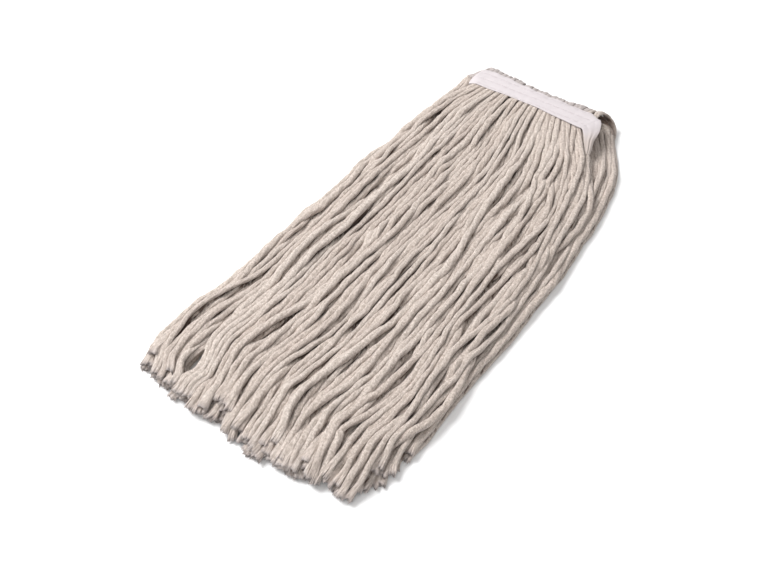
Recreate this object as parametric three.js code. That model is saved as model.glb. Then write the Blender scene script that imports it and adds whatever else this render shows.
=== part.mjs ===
// A cut-end string mop head, folded over at its headband and lying flat.
// Millimetres, +Z up. +X runs along the headband and +Y towards the fold; the cut ends are at -Y.
// Every cotton yarn runs from one cut end through the front skirt, between the two tapes of the
// headband, round the fold and back through the back skirt. The yarns are grouped in locks.
import * as THREE from 'three';

// Headband: two cotton tapes with the yarns sewn between them. The width is that of the flat stretch.
const BAND_LENGTH = 138;
const BAND_WIDTH = 28;
const TAPE_THICKNESS = 1.4;
const CORE_HEIGHT = 11;
const FLAP_THICKNESS = 1;
const FLAP_DROP = 12;

// Yarn locks.
const LOCK_COUNT = 12;
const SKIRT_LENGTH = 497;
const BACK_HEIGHT = 13;
const BACK_END_HEIGHT = 9.4;
const FRONT_END_HEIGHT = 9.6;
const FRONT_ROUND = 6.5;
const TURN_ROUND = 6.8;
const TURN_OVERHANG = 4;

// Stitching. Each row of stitches is pulled into a groove of the tape, so that no thread stands proud of it.
const STITCH_ROWS = [3.5, 12.75, 22];
const GROOVE_WIDTH = 1.2;
const GROOVE_DEPTH = 0.8;
const THREAD_RADIUS = 0.28;
const THREAD_RISE = 0.1;
const THREAD_SIDES = 6;
const STITCH_COUNT = 15;

// Clearances between neighbours.
const GAP = 0.3;
const THREAD_GAP = 0.1;
const LAYER_GAP = 0.6;

// Heights that follow from the sizes above.
const BACK_TAPE_BOTTOM = 13.6;
const CORE_BOTTOM = BACK_TAPE_BOTTOM + TAPE_THICKNESS + GAP;
const CORE_TOP = CORE_BOTTOM + CORE_HEIGHT;
const FACE_TAPE_BOTTOM = CORE_TOP + GAP;
const FACE_TAPE_TOP = FACE_TAPE_BOTTOM + TAPE_THICKNESS;
const FRONT_AXIS_HEIGHT = (CORE_BOTTOM + CORE_TOP) / 2;
const BACK_AXIS_HEIGHT = TURN_ROUND + THREAD_GAP;

// Places along Y, counted from the headband's front edge.
const TURN_AXIS_Y = BAND_WIDTH + TURN_OVERHANG;
const INNER_END_Y = TURN_AXIS_Y - TURN_ROUND - GAP;
const FRONT_AXIS_Y = -FRONT_ROUND - 0.5;
const CORE_FRONT_Y = FRONT_AXIS_Y + FRONT_ROUND + GAP;

const COLOURS = {
  tape: 0xeee6e8,
  thread: 0xf3efee,
  front: 0xddd0c5,
  core: 0xd8cbc0,
  turn: 0xcfc4ba,
  back: 0xcbbdb1,
};

function material(colour) {
  return new THREE.MeshStandardMaterial({ color: colour, roughness: 0.95, metalness: 0 });
}

function piece(name, geometry, colour) {
  const mesh = new THREE.Mesh(geometry, material(colour));
  mesh.name = name;
  return mesh;
}

function numbered(name, index) {
  return `${name}_${String(index + 1).padStart(2, '0')}`;
}

// Half-widths of the two skirts at a distance from the headband's front edge. The yarns leave the
// sewn band side by side and spread within a hand's breadth; the back skirt bulges out at the right.
const STRAIGHT_START = 1.3;

function spread(to, distance, reach, exponent) {
  const share = 1 - Math.exp(-((Math.max(distance, 0) / reach) ** exponent));
  return THREE.MathUtils.lerp(BAND_LENGTH / 2, to, share);
}

// Near the cut ends the left side splays out again.
function leftSplay(distance) {
  return 14 * Math.exp(-(((distance - 445) / 55) ** 2));
}

function frontEdge(side, distance) {
  const flare = 4 * (distance / SKIRT_LENGTH) ** 3;
  return side < 0
    ? -spread(108, distance, 55, STRAIGHT_START) - leftSplay(distance)
    : spread(120, distance, 60, STRAIGHT_START) + flare;
}

function backEdge(side, distance) {
  const pastTurn = distance + BAND_WIDTH;
  const waist = 10 * Math.exp(-(((distance - 345) / 75) ** 2));
  return side < 0
    ? -spread(111, pastTurn, 42, 1) - 0.7 * leftSplay(distance)
    : spread(138, pastTurn, 36, 1) - waist;
}

// The line between two neighbouring locks waves gently from side to side.
function boundary(edge, index, distance) {
  const share = index / LOCK_COUNT;
  const across = THREE.MathUtils.lerp(edge(-1, distance), edge(1, distance), share);
  const inside = Math.sin(Math.PI * share);
  const eased = THREE.MathUtils.smoothstep(distance, 0, 140);
  return across + 3.2 * inside * eased * Math.sin(distance / 36 + 0.7 * index);
}

// Top of the back skirt, which the front skirt lies on.
function backTop(distance) {
  return THREE.MathUtils.lerp(BACK_HEIGHT, BACK_END_HEIGHT,
    THREE.MathUtils.smoothstep(distance, 0, SKIRT_LENGTH));
}

function frontHeight(distance, across) {
  const start = 2 * FRONT_ROUND;
  const middle = THREE.MathUtils.lerp(start, FRONT_END_HEIGHT,
    THREE.MathUtils.smoothstep(distance, 0, SKIRT_LENGTH));
  return middle * (1 - 0.22 * Math.abs(across) ** 3 * THREE.MathUtils.smoothstep(distance, 0, 120));
}

// A closed eight-sided loft along -Y. section(t) gives y, left, right, bottom and top.
const SECTION_SIDES = 8;
const CHAMFER = 0.3;

function loft(stations, section) {
  const steps = stations.length - 1;
  const geometry = new THREE.CylinderGeometry(1, 1, 1, SECTION_SIDES, steps, false, Math.PI / SECTION_SIDES);
  const position = geometry.attributes.position;
  const sections = stations.map(section);
  for (let i = 0; i < position.count; i += 1) {
    const s = sections[Math.round((0.5 - position.getY(i)) * steps)];
    const halfWidth = (s.right - s.left) / 2;
    const halfHeight = (s.top - s.bottom) / 2;
    const cut = CHAMFER * Math.min(halfWidth, halfHeight);
    const reach = (value, half) => {
      const size = Math.abs(value);
      if (size < 0.1) return 0;
      return Math.sign(value) * (size > 0.5 ? half : half - cut);
    };
    position.setXYZ(i,
      (s.left + s.right) / 2 + reach(position.getX(i), halfWidth),
      s.y,
      (s.bottom + s.top) / 2 + reach(position.getZ(i), halfHeight));
  }
  geometry.computeVertexNormals();
  return geometry;
}

// Neighbouring locks share their stations, so that their sides stay parallel, and differ at the end.
const STATION_STEPS = 18;
const LAST_STEP_SHARE = 0.3;

function lockStations(first, end) {
  const pitch = (SKIRT_LENGTH - first) / STATION_STEPS;
  const shared = Array.from({ length: STATION_STEPS + 1 }, (_, i) => first + pitch * i);
  return [...shared.filter((distance) => distance < end - pitch * LAST_STEP_SHARE), end];
}

function lockCentre(index) {
  return (2 * index + 1) / LOCK_COUNT - 1;
}

// Front skirt: each lock starts as a half round about the line that the skirt lifts on.
function frontLock(index) {
  const across = lockCentre(index);
  const end = SKIRT_LENGTH - 14 * across ** 2 - 5 * Math.abs(Math.sin(2.3 * index));
  const roundAngles = [20, 45, 68].map((degrees) => THREE.MathUtils.degToRad(degrees));
  const roundStarts = roundAngles.map((angle) => FRONT_ROUND * (1 - Math.cos(angle)));
  const roundHeights = roundAngles.map((angle) => FRONT_ROUND * Math.sin(angle));
  const start = -FRONT_AXIS_Y - FRONT_ROUND;
  const stations = [...roundStarts.map((d) => start + d), ...lockStations(start + FRONT_ROUND, end)];
  return loft(stations, (distance) => {
    const step = stations.indexOf(distance);
    const round = step < roundHeights.length;
    const bottom = backTop(distance) + LAYER_GAP;
    const restHeight = FRONT_AXIS_HEIGHT - FRONT_ROUND;
    const settle = THREE.MathUtils.smoothstep(distance, 8, 110);
    const base = THREE.MathUtils.lerp(restHeight, bottom, settle);
    return {
      y: -distance,
      left: boundary(frontEdge, index, distance) + GAP / 2,
      right: boundary(frontEdge, index + 1, distance) - GAP / 2,
      bottom: round ? FRONT_AXIS_HEIGHT - roundHeights[step] : base,
      top: round ? FRONT_AXIS_HEIGHT + roundHeights[step] : base + frontHeight(distance, across),
    };
  });
}

// Back skirt: it lies on the floor, under the headband and the front skirt.
function backLock(index) {
  const across = lockCentre(index);
  const shorter = 320 * Math.max(0, across - 0.5) ** 2;
  const end = SKIRT_LENGTH - 12 * across ** 2 - shorter - 6 * Math.abs(Math.sin(1.7 * index + 1));
  return loft(lockStations(-INNER_END_Y, end), (distance) => ({
    y: -distance,
    left: boundary(backEdge, index, distance) + GAP / 2,
    right: boundary(backEdge, index + 1, distance) - GAP / 2,
    bottom: 0,
    top: backTop(distance),
  }));
}

const LOCK_PITCH = BAND_LENGTH / LOCK_COUNT;

function lockLeft(index) {
  return -BAND_LENGTH / 2 + LOCK_PITCH * index + GAP / 2;
}

// A shape drawn in the YZ plane and extruded along X.
const YZ_TO_ROW = new THREE.Matrix4().makeBasis(
  new THREE.Vector3(0, 1, 0), new THREE.Vector3(0, 0, 1), new THREE.Vector3(1, 0, 0));

function extrudeAlongX(shape, depth, curveSegments) {
  const geometry = new THREE.ExtrudeGeometry(shape, { depth, bevelEnabled: false, steps: 1, curveSegments });
  return geometry.applyMatrix4(YZ_TO_ROW);
}

// The turn: each lock goes round between the back skirt and the headband.
function turnLock() {
  const shape = new THREE.Shape();
  shape.absarc(TURN_AXIS_Y, BACK_AXIS_HEIGHT, TURN_ROUND, Math.PI, 2 * Math.PI, false);
  shape.absarc(TURN_AXIS_Y, FRONT_AXIS_HEIGHT, TURN_ROUND, 0, Math.PI, false);
  shape.closePath();
  return extrudeAlongX(shape, LOCK_PITCH - GAP, 8);
}

// A tape along X with a groove for each row of stitches in its outer face. side is 1 for up.
function tape(front, innerFace, side) {
  const outerFace = innerFace + side * TAPE_THICKNESS;
  const grooveFloor = outerFace - side * GROOVE_DEPTH;
  const shape = new THREE.Shape();
  shape.moveTo(front, innerFace);
  shape.lineTo(front, outerFace);
  STITCH_ROWS.forEach((row) => {
    const [near, far] = [front + row - GROOVE_WIDTH / 2, front + row + GROOVE_WIDTH / 2];
    shape.lineTo(near, outerFace);
    shape.lineTo(near, grooveFloor);
    shape.lineTo(far, grooveFloor);
    shape.lineTo(far, outerFace);
  });
  shape.lineTo(front + BAND_WIDTH, outerFace);
  shape.lineTo(front + BAND_WIDTH, innerFace);
  shape.closePath();
  const geometry = extrudeAlongX(shape, BAND_LENGTH, 1);
  return geometry.translate(-BAND_LENGTH / 2, 0, 0);
}

// The sewn stretch of a lock, pressed flat between the tapes.
function sewnLock() {
  const width = LOCK_PITCH - GAP;
  const geometry = new THREE.BoxGeometry(width, INNER_END_Y - CORE_FRONT_Y, CORE_HEIGHT);
  return geometry.translate(width / 2, (INNER_END_Y + CORE_FRONT_Y) / 2, FRONT_AXIS_HEIGHT);
}

// The tape's end hangs over the end of the sewn yarns, and narrows towards the front corner.
function endFlap() {
  const top = FACE_TAPE_TOP - THREAD_GAP;
  const shape = new THREE.Shape();
  shape.moveTo(BAND_WIDTH - 0.5, top);
  shape.lineTo(0.5, top);
  shape.lineTo(0.5, top - FLAP_DROP);
  shape.lineTo(BAND_WIDTH / 4, top - FLAP_DROP);
  shape.lineTo(BAND_WIDTH * 0.75, top - FLAP_DROP / 2);
  shape.closePath();
  return extrudeAlongX(shape, FLAP_THICKNESS, 1);
}

// One continuous thread along a row of stitches, arched over each stitch inside its groove.
function stitchThread(side, outerFace) {
  const low = outerFace + side * (THREAD_GAP + THREAD_RADIUS - GROOVE_DEPTH);
  const points = [];
  for (let i = 0; i <= 2 * STITCH_COUNT; i += 1) {
    const x = THREE.MathUtils.lerp(-BAND_LENGTH / 2 + 2, BAND_LENGTH / 2 - 2, i / (2 * STITCH_COUNT));
    points.push(new THREE.Vector3(x, 0, low + side * THREAD_RISE * (i % 2)));
  }
  const section = new THREE.Shape();
  for (let i = 0; i < THREAD_SIDES; i += 1) {
    const angle = (2 * Math.PI * i) / THREAD_SIDES;
    const [u, v] = [THREAD_RADIUS * Math.cos(angle), THREAD_RADIUS * Math.sin(angle)];
    if (i === 0) section.moveTo(u, v);
    else section.lineTo(u, v);
  }
  section.closePath();
  const extrudePath = new THREE.CatmullRomCurve3(points);
  return new THREE.ExtrudeGeometry(section, { steps: 2 * STITCH_COUNT, bevelEnabled: false, extrudePath });
}

function buildHeadband() {
  const headband = new THREE.Group();
  const half = BAND_LENGTH / 2;
  const backFront = INNER_END_Y - BAND_WIDTH;
  headband.add(piece('face_tape', tape(0, FACE_TAPE_BOTTOM, 1), COLOURS.tape));
  headband.add(piece('back_tape', tape(backFront, BACK_TAPE_BOTTOM + TAPE_THICKNESS, -1), COLOURS.tape));

  const right = piece('end_flap_right', endFlap(), COLOURS.tape);
  right.position.x = half + GAP;
  const left = piece('end_flap_left', endFlap(), COLOURS.tape);
  left.position.x = -half - GAP - FLAP_THICKNESS;
  headband.add(right, left);

  for (let i = 0; i < LOCK_COUNT; i += 1) {
    const mesh = piece(numbered('sewn_lock', i), sewnLock(), COLOURS.core);
    mesh.position.x = lockLeft(i);
    headband.add(mesh);
  }

  STITCH_ROWS.forEach((row, i) => {
    const needle = piece(numbered('needle_thread', i), stitchThread(1, FACE_TAPE_TOP), COLOURS.thread);
    needle.position.y = row;
    const bobbin = piece(numbered('bobbin_thread', i), stitchThread(-1, BACK_TAPE_BOTTOM), COLOURS.thread);
    bobbin.position.y = row + backFront;
    headband.add(needle, bobbin);
  });
  return headband;
}

function buildTurn() {
  const turn = new THREE.Group();
  for (let i = 0; i < LOCK_COUNT; i += 1) {
    const mesh = piece(numbered('turn_lock', i), turnLock(), COLOURS.turn);
    mesh.position.x = lockLeft(i);
    turn.add(mesh);
  }
  return turn;
}

function buildSkirt(name, makeLock, colour) {
  const skirt = new THREE.Group();
  for (let i = 0; i < LOCK_COUNT; i += 1) {
    skirt.add(piece(numbered(name, i), makeLock(i), colour));
  }
  return skirt;
}

const mop = new THREE.Group();
mop.add(
  buildHeadband(),
  buildTurn(),
  buildSkirt('front_lock', frontLock, COLOURS.front),
  buildSkirt('back_lock', backLock, COLOURS.back),
);

// The origin is under the middle of the whole mop head, on the floor.
const middle = new THREE.Box3().setFromObject(mop).getCenter(new THREE.Vector3());
mop.position.set(-middle.x, -middle.y, 0);

export default mop;
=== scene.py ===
"""A cut-end string mop head, folded over at its headband and laid flat.

Lengths are in millimetres until a mesh is made. The yarns are laid out on stations along the mop
head, settled against each other and the floor, and swept into twisted four-ply yarn.
"""

import math

import bpy
import numpy as np
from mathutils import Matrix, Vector


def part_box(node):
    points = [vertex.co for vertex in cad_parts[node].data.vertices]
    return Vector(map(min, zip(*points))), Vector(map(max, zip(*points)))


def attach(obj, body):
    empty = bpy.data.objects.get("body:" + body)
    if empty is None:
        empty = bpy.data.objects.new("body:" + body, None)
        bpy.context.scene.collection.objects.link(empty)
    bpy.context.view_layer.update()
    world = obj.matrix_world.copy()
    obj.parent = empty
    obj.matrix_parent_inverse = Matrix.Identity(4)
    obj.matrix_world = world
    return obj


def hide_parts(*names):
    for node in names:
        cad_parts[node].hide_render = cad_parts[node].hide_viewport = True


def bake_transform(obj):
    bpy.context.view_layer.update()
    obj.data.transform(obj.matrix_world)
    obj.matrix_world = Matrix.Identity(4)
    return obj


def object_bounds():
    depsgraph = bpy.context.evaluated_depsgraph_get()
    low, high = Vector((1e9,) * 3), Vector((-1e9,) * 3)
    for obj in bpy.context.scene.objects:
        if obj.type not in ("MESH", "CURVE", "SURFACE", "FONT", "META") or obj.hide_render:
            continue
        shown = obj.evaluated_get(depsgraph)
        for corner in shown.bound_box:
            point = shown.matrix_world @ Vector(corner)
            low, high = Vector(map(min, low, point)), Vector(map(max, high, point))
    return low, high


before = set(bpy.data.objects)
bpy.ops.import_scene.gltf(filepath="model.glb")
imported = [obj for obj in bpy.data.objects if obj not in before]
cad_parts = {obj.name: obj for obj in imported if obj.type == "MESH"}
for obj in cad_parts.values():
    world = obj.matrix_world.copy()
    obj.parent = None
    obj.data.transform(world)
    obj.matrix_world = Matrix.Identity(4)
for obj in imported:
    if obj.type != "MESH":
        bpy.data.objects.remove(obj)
cad_low, cad_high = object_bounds()

METRE = 0.001
FLOOR_CLEARANCE = 0.05
rng = np.random.default_rng(24)

# ---- camera and stage

VIEW_AZIMUTH = 33.8
VIEW_ELEVATION = 47.9
VIEW_DISTANCE = 1.006
VIEW_LENS = 50.6
VIEW_TARGET = (-0.00217, -0.05367, 0.0)
SENSOR_WIDTH = 36
CLIP_START = 0.01
AMBIENT = 0.5
FLOOR_HALF = 6.0
FLOOR_COLOUR = (0.93, 0.93, 0.93, 1)


def direction(azimuth, elevation):
    """Unit vector from the object towards a viewer at that azimuth and elevation, in degrees."""
    a, e = math.radians(azimuth), math.radians(elevation)
    return np.array([math.sin(a) * math.cos(e), -math.cos(a) * math.cos(e), math.sin(e)])


def add_object(name, data):
    obj = bpy.data.objects.new(name, data)
    bpy.context.scene.collection.objects.link(obj)
    return obj


def aim(obj, position, target):
    """Places obj at position with its -Z axis pointing at target."""
    obj.location = position
    looking = Vector(target) - Vector(position)
    obj.rotation_euler = looking.to_track_quat("-Z", "Y").to_euler()


def make_camera():
    data = bpy.data.cameras.new("camera")
    data.lens = VIEW_LENS
    data.sensor_width = SENSOR_WIDTH
    data.clip_start = CLIP_START
    camera = add_object("camera", data)
    target = np.array(VIEW_TARGET)
    aim(camera, target + VIEW_DISTANCE * direction(VIEW_AZIMUTH, VIEW_ELEVATION), target)
    bpy.context.scene.camera = camera


def add_softbox(name, azimuth, elevation, distance, size, power):
    data = bpy.data.lights.new(name, "AREA")
    data.shape = "SQUARE"
    data.size = size
    data.energy = power
    aim(add_object(name, data), distance * direction(azimuth, elevation), (0, 0, 0))


def make_stage():
    scene = bpy.context.scene
    scene.view_settings.view_transform = "Standard"
    world = bpy.data.worlds.new("studio")
    world.use_nodes = True
    background = world.node_tree.nodes["Background"]
    background.inputs["Color"].default_value = (1, 1, 1, 1)
    background.inputs["Strength"].default_value = AMBIENT
    scene.world = world
    add_softbox("key", azimuth=-80, elevation=52, distance=2.2, size=1.1, power=60)
    add_softbox("fill", azimuth=20, elevation=60, distance=2.4, size=2.0, power=13)

    mesh = bpy.data.meshes.new("floor")
    corners = [(-1, -1), (1, -1), (1, 1), (-1, 1)]
    mesh.from_pydata([(x * FLOOR_HALF, y * FLOOR_HALF, 0) for x, y in corners], [], [(0, 1, 2, 3)])
    material = bpy.data.materials.new("floor_paper")
    material.use_nodes = True
    shader = material.node_tree.nodes["Principled BSDF"]
    shader.inputs["Base Color"].default_value = FLOOR_COLOUR
    shader.inputs["Roughness"].default_value = 0.9
    mesh.materials.append(material)
    add_object("floor", mesh)


make_camera()
make_stage()

# ---- sizes from the frame


def node_box(name):
    low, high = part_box(name)
    return np.array(low) / METRE, np.array(high) / METRE


face_low, face_high = node_box("face_tape")
back_low, _ = node_box("back_tape")
core_low, core_high = node_box("sewn_lock_01")
turn_low, turn_high = node_box("turn_lock_01")

BAND_X = (face_low[0] + face_high[0]) / 2
BAND_HALF = (face_high[0] - face_low[0]) / 2
BAND_FRONT = face_low[1]
BAND_REAR = face_high[1]
BAND_WIDTH = BAND_REAR - BAND_FRONT
TAPE_TOP = face_high[2]
TURN_Y = core_high[1]
TURN_Z = (turn_low[2] + turn_high[2]) / 2
SKIRT_END = BAND_FRONT - cad_low[1] / METRE

# ---- yarn layout

YARN_DIAMETER = 5.4
YARN_RADIUS = YARN_DIAMETER / 2
PRESSED_RADIUS = 1.5
PRESSED_WIDTH = 3.4
LEAVING_WIDTH = 2.7
ROWS = 4
COLUMNS = 24
YARNS = ROWS * COLUMNS
LOCKS = 12
YARNS_PER_LOCK = YARNS // LOCKS
COLUMN_PITCH = 2 * BAND_HALF / COLUMNS
ROW_PITCH = (core_high[2] - core_low[2]) / ROWS
STATION_PITCH = 6.0
CORE_END = BAND_FRONT - TURN_Y
STAGGER = 0.25
PACKING = 0.985
COLUMN_STRAY = 0.9
YARN_STRAY = 0.4
ANY_PHASE = 6.3

column = np.arange(YARNS) // ROWS
row = np.arange(YARNS) % ROWS
lock = np.arange(YARNS) // YARNS_PER_LOCK
stagger = np.where(row % 2 == 0, STAGGER, -STAGGER)
core_x = (column - (COLUMNS - 1) / 2 + stagger) * COLUMN_PITCH * PACKING
core_z = core_high[2] - ROW_PITCH * (row + 0.5)
share = np.clip(core_x / BAND_HALF, -1, 1)
core_x = core_x + rng.normal(0, COLUMN_STRAY, COLUMNS)[column] + rng.normal(0, YARN_STRAY, YARNS)

stations = np.arange(CORE_END, SKIRT_END + STATION_PITCH, STATION_PITCH)


def smoothstep(value, low, high):
    t = np.clip((value - low) / (high - low), 0, 1)
    return t * t * (3 - 2 * t)


def spread(target, distance, reach, exponent):
    """Half-width at a distance from where the yarns leave the band."""
    reached = 1 - np.exp(-(np.maximum(distance, 0) / reach) ** exponent)
    return BAND_HALF + (target - BAND_HALF) * reached


def swells(distance, bumps):
    """Sum of smooth bumps along the mop head, each given by its height, place and length."""
    return sum(height * np.exp(-(((distance - place) / length) ** 2)) for height, place, length in bumps)


LEFT_BUMPS = ((17, 428, 50), (11, 4, 22), (-3, 106, 24), (3.5, 295, 35), (3, 412, 12))
FRONT_RIGHT_BUMPS = ((-11, 436, 20),)
BACK_RIGHT_BUMPS = ((-9, 345, 52), (-2, 48, 36), (-6, 136, 15), (3, 185, 24), (-16, 436, 20))


def left_side(distance):
    """How far the left side stands out beyond the spreading of the yarns at the band."""
    return swells(distance, LEFT_BUMPS) + 6 * smoothstep(distance, 130, 240)


def front_edges(distance):
    """Left and right side of the front skirt."""
    left = -spread(102, distance + 26, 62, 1.2) - left_side(distance)
    right = spread(124, distance, 55, 1.2) - 5 * smoothstep(distance, 380, 450)
    return left, right + swells(distance, FRONT_RIGHT_BUMPS)


def back_edges(distance):
    """Left and right side of the back skirt."""
    past_turn = np.maximum(distance - CORE_END, 0)
    left = -spread(102, past_turn + 46, 75, 1.1) - left_side(distance)
    right = spread(137, past_turn + 12, 38, 1.0) + 2 * smoothstep(distance, 380, 420)
    return left, right + swells(distance, BACK_RIGHT_BUMPS)


def ripple(along, shortest, longest):
    """A wave of random length and phase."""
    return np.sin(along / rng.uniform(shortest, longest) + rng.uniform(0, ANY_PHASE))


def wander(count, amplitude, shortest, longest):
    """A random gentle wave along the stations for each yarn."""
    length = rng.uniform(shortest, longest, (count, 1))
    phase = rng.uniform(0, 2 * math.pi, (count, 1))
    size = rng.normal(0, amplitude, (count, 1))
    return size * np.sin(2 * math.pi * stations / length + phase)


GATHER = 0.20
GATHER_WAVE = 60
END_GATHER = 0.15
STRAY_SHARE = 0.25
STRAY_FACTOR = 2.3
LOCK_WAVE = 1.2


def skirt_targets(edges):
    """Where each yarn of a skirt would lie across the mop head if it met no other yarn."""
    left, right = edges(stations)
    across = (share[:, None] + 1) / 2
    x = left + (right - left) * across
    lock_place = 2 * (lock[:, None] + 0.5) / LOCKS - 1
    lock_x = left + (right - left) * ((lock_place + 1) / 2)
    lock_phase = rng.uniform(0, 2 * math.pi, LOCKS)[lock][:, None]
    gather = GATHER + GATHER * np.sin(stations / GATHER_WAVE + lock_phase)
    gather = gather + END_GATHER * smoothstep(stations, 330, 470)
    gather = gather * (1 - 0.6 * np.abs(share[:, None]) ** 6)
    x = x + (lock_x - x) * gather
    stray = np.where(rng.uniform(0, 1, YARNS) < STRAY_SHARE, STRAY_FACTOR, 1.0)[:, None]
    meander = (stray * wander(YARNS, 3.2, 190, 340) + wander(YARNS, 1.3, 80, 150)
               + wander(YARNS, 0.45, 34, 60))
    lock_wave = np.stack([LOCK_WAVE * ripple(stations, 26, 44) for _ in range(LOCKS)])[lock]
    return x + smoothstep(stations, 0, 80) * (meander + lock_wave)


PARTING_X = -76
PARTING_PUSH = 7.5
PARTING_REACH = 26
PARTING_MIDDLE = 450


def parted(x):
    """Draws the yarns apart at the slot that gapes between two locks near the cut ends."""
    middle = int(np.argmin(np.abs(stations - PARTING_MIDDLE)))
    side = np.where(x[:, middle] < PARTING_X, -1.0, 1.0)[:, None]
    near = np.exp(-np.abs(x - PARTING_X) / PARTING_REACH)
    gaping = smoothstep(stations, 420, 457) * (1 - smoothstep(stations, 461, 474))
    return x + PARTING_PUSH * side * near * gaping


LOCK_CUT = np.array([0, 2, 2, 2, -10, -2, 2, 0, 3, -4, -2, 3])
FRONT_CUT_STRAY = 3.5
BACK_CUT_STRAY = 4.0


def cut_lengths():
    """Distance from the band's front edge to each yarn's two cut ends."""
    uneven = LOCK_CUT[lock]
    longest = SKIRT_END - 5 - 11 * (share - 0.25) ** 2 - 40 * smoothstep(share, 0.88, 1) + uneven
    shorter = 260 * np.maximum(0, share - 0.55) ** 2 - 20 * smoothstep(share, 0.86, 1)
    front = longest + rng.normal(0, FRONT_CUT_STRAY, YARNS)
    back = longest - 6 - shorter + rng.normal(0, BACK_CUT_STRAY, YARNS)
    return np.minimum(front, SKIRT_END + 4), np.minimum(back, SKIRT_END + 2)


front_cut, back_cut = cut_lengths()
bulge_share = rng.uniform(0.68, 1.06, YARNS)
side_bulge = bulge_share * (25 * smoothstep(share, 0.45, 1.0) - 26 * smoothstep(-share, 0.35, 1.0))
back_x = core_x + side_bulge
turn_radius = core_z - TURN_Z
back_z = TURN_Z - turn_radius


SETTLE_STEPS = 420
PUSHES_PER_STEP = 2
NEIGHBOURS = 16
FALL = 0.10
DRAW = 0.02
PUSH = 0.45
PUSH_LIMIT = 1.2
SMOOTHING = 0.35
FULL_AT = 34
TIGHT_GAP = 3.2
LOOSE_GAP = YARN_DIAMETER * 0.94
LOWEST = YARN_RADIUS * 0.92
HEIGHT_STRAY = 0.3


def push_apart(x, z, alive, gap):
    """Moves discs that overlap at a station part of the way off each other, in place."""
    order = np.argsort(x, axis=0)
    xs = np.take_along_axis(x, order, 0)
    zs = np.take_along_axis(z, order, 0)
    on = np.take_along_axis(alive, order, 0)
    push_x = np.zeros_like(xs)
    push_z = np.zeros_like(zs)
    for k in range(1, NEIGHBOURS):
        dx = xs[k:] - xs[:-k]
        dz = zs[k:] - zs[:-k]
        away = np.sqrt(dx * dx + dz * dz) + 1e-6
        deep = np.maximum(0, gap - away) * (on[k:] & on[:-k]) * PUSH
        ux, uz = dx / away * deep, dz / away * deep
        push_x[k:] += ux
        push_x[:-k] -= ux
        push_z[k:] += uz
        push_z[:-k] -= uz
    np.put_along_axis(x, order, xs + np.clip(push_x, -PUSH_LIMIT, PUSH_LIMIT), 0)
    np.put_along_axis(z, order, zs + np.clip(push_z, -PUSH_LIMIT, PUSH_LIMIT), 0)


def settle():
    """Relaxes both skirts together. Each yarn is a disc at each station; discs fall, push each
    other apart, stay above the floor and stay smooth along the yarn."""
    target = np.concatenate([skirt_targets(front_edges), skirt_targets(back_edges)])
    is_front = (np.arange(2 * YARNS) < YARNS)[:, None]
    start_x = np.concatenate([core_x, back_x])[:, None]
    start_z = np.concatenate([core_z, back_z])[:, None]
    eased = np.where(is_front, smoothstep(stations, -12, FULL_AT), smoothstep(stations, CORE_END, 6))
    x = start_x + (target - start_x) * eased
    z = np.repeat(start_z, len(stations), axis=1)
    z = z + rng.normal(0, HEIGHT_STRAY, z.shape[:1])[:, None]
    pinned = np.where(is_front, stations <= 0.5, stations <= CORE_END + 0.5)
    pinned_x, pinned_z = x.copy(), z.copy()
    pinned_z[:] = start_z
    cut = np.concatenate([front_cut, back_cut])[:, None]
    alive = stations <= cut + STATION_PITCH
    gap = TIGHT_GAP + (LOOSE_GAP - TIGHT_GAP) * smoothstep(stations, 0, FULL_AT)
    under_band = (stations < 4) & ~is_front
    ceiling = back_low[2] - 1.5
    for _ in range(SETTLE_STEPS):
        z -= FALL
        x += DRAW * (target - x) * eased
        for _ in range(PUSHES_PER_STEP):
            push_apart(x, z, alive, gap)
        for values in (x, z):
            smooth = values.copy()
            smooth[:, 1:-1] = (values[:, :-2] + values[:, 2:]) / 2
            values += SMOOTHING * (smooth - values)
        z[:] = np.maximum(z, LOWEST)
        z[under_band] = np.minimum(z[under_band], ceiling)
        x[pinned] = pinned_x[pinned]
        z[pinned] = pinned_z[pinned]
    return parted(x[:YARNS]), z[:YARNS], parted(x[YARNS:]), z[YARNS:]


front_x, front_z, skirt_x, skirt_z = settle()

# ---- centrelines

STEP = 2.4
TURN_STEPS = 24
FULL_WIDTH = 1.2
FULL_HEIGHT = 0.90
THINNEST, THICKEST = 0.82, 1.18
SHORTEST_TWIST, LONGEST_TWIST = 70, 110
TURN_SWELL_HIGH = 0.6
TURN_SWELL_WIDE = 0.45
# grey shade painted on the outside of the fold, and how much painted gap shade it takes away there
TURN_SHADE_GREY = 0.66
TURN_SHADE_LIFT = 0.92
CRIMP = 0.28
SHORTEST_CRIMP, LONGEST_CRIMP = 3.4, 5.5


def lengths_along(points):
    """Length of a line of points up to each of them."""
    return np.concatenate([[0], np.cumsum(np.linalg.norm(np.diff(points, axis=0), axis=1))])


def resample(points, pitch):
    """Catmull-Rom through the points, at an even pitch along the line."""
    padded = np.vstack([2 * points[0] - points[1], points, 2 * points[-1] - points[-2]])
    t = np.linspace(0, 1, 5)[:-1][:, None]
    a, b, c, d = (padded[i:len(padded) - 3 + i][:, None, :] for i in range(4))
    fine = 0.5 * (2 * b + (c - a) * t + (2 * a - 5 * b + 4 * c - d) * t ** 2
                  + (3 * b - a - 3 * c + d) * t ** 3)
    fine = np.vstack([fine.reshape(-1, 3), points[-1]])
    along = lengths_along(fine)
    count = max(2, int(round(along[-1] / pitch)) + 1)
    even = np.linspace(0, along[-1], count)
    return np.stack([np.interp(even, along, fine[:, i]) for i in range(3)], axis=1)


def trimmed(x, z, cut):
    """Station points of one skirt up to its cut end, from the band outwards."""
    inside = stations < cut - 1
    points = np.stack([x, BAND_FRONT - stations, z], axis=1)
    last = [np.interp(cut, stations, x), BAND_FRONT - cut, np.interp(cut, stations, z)]
    return np.vstack([points[inside], last])


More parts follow.
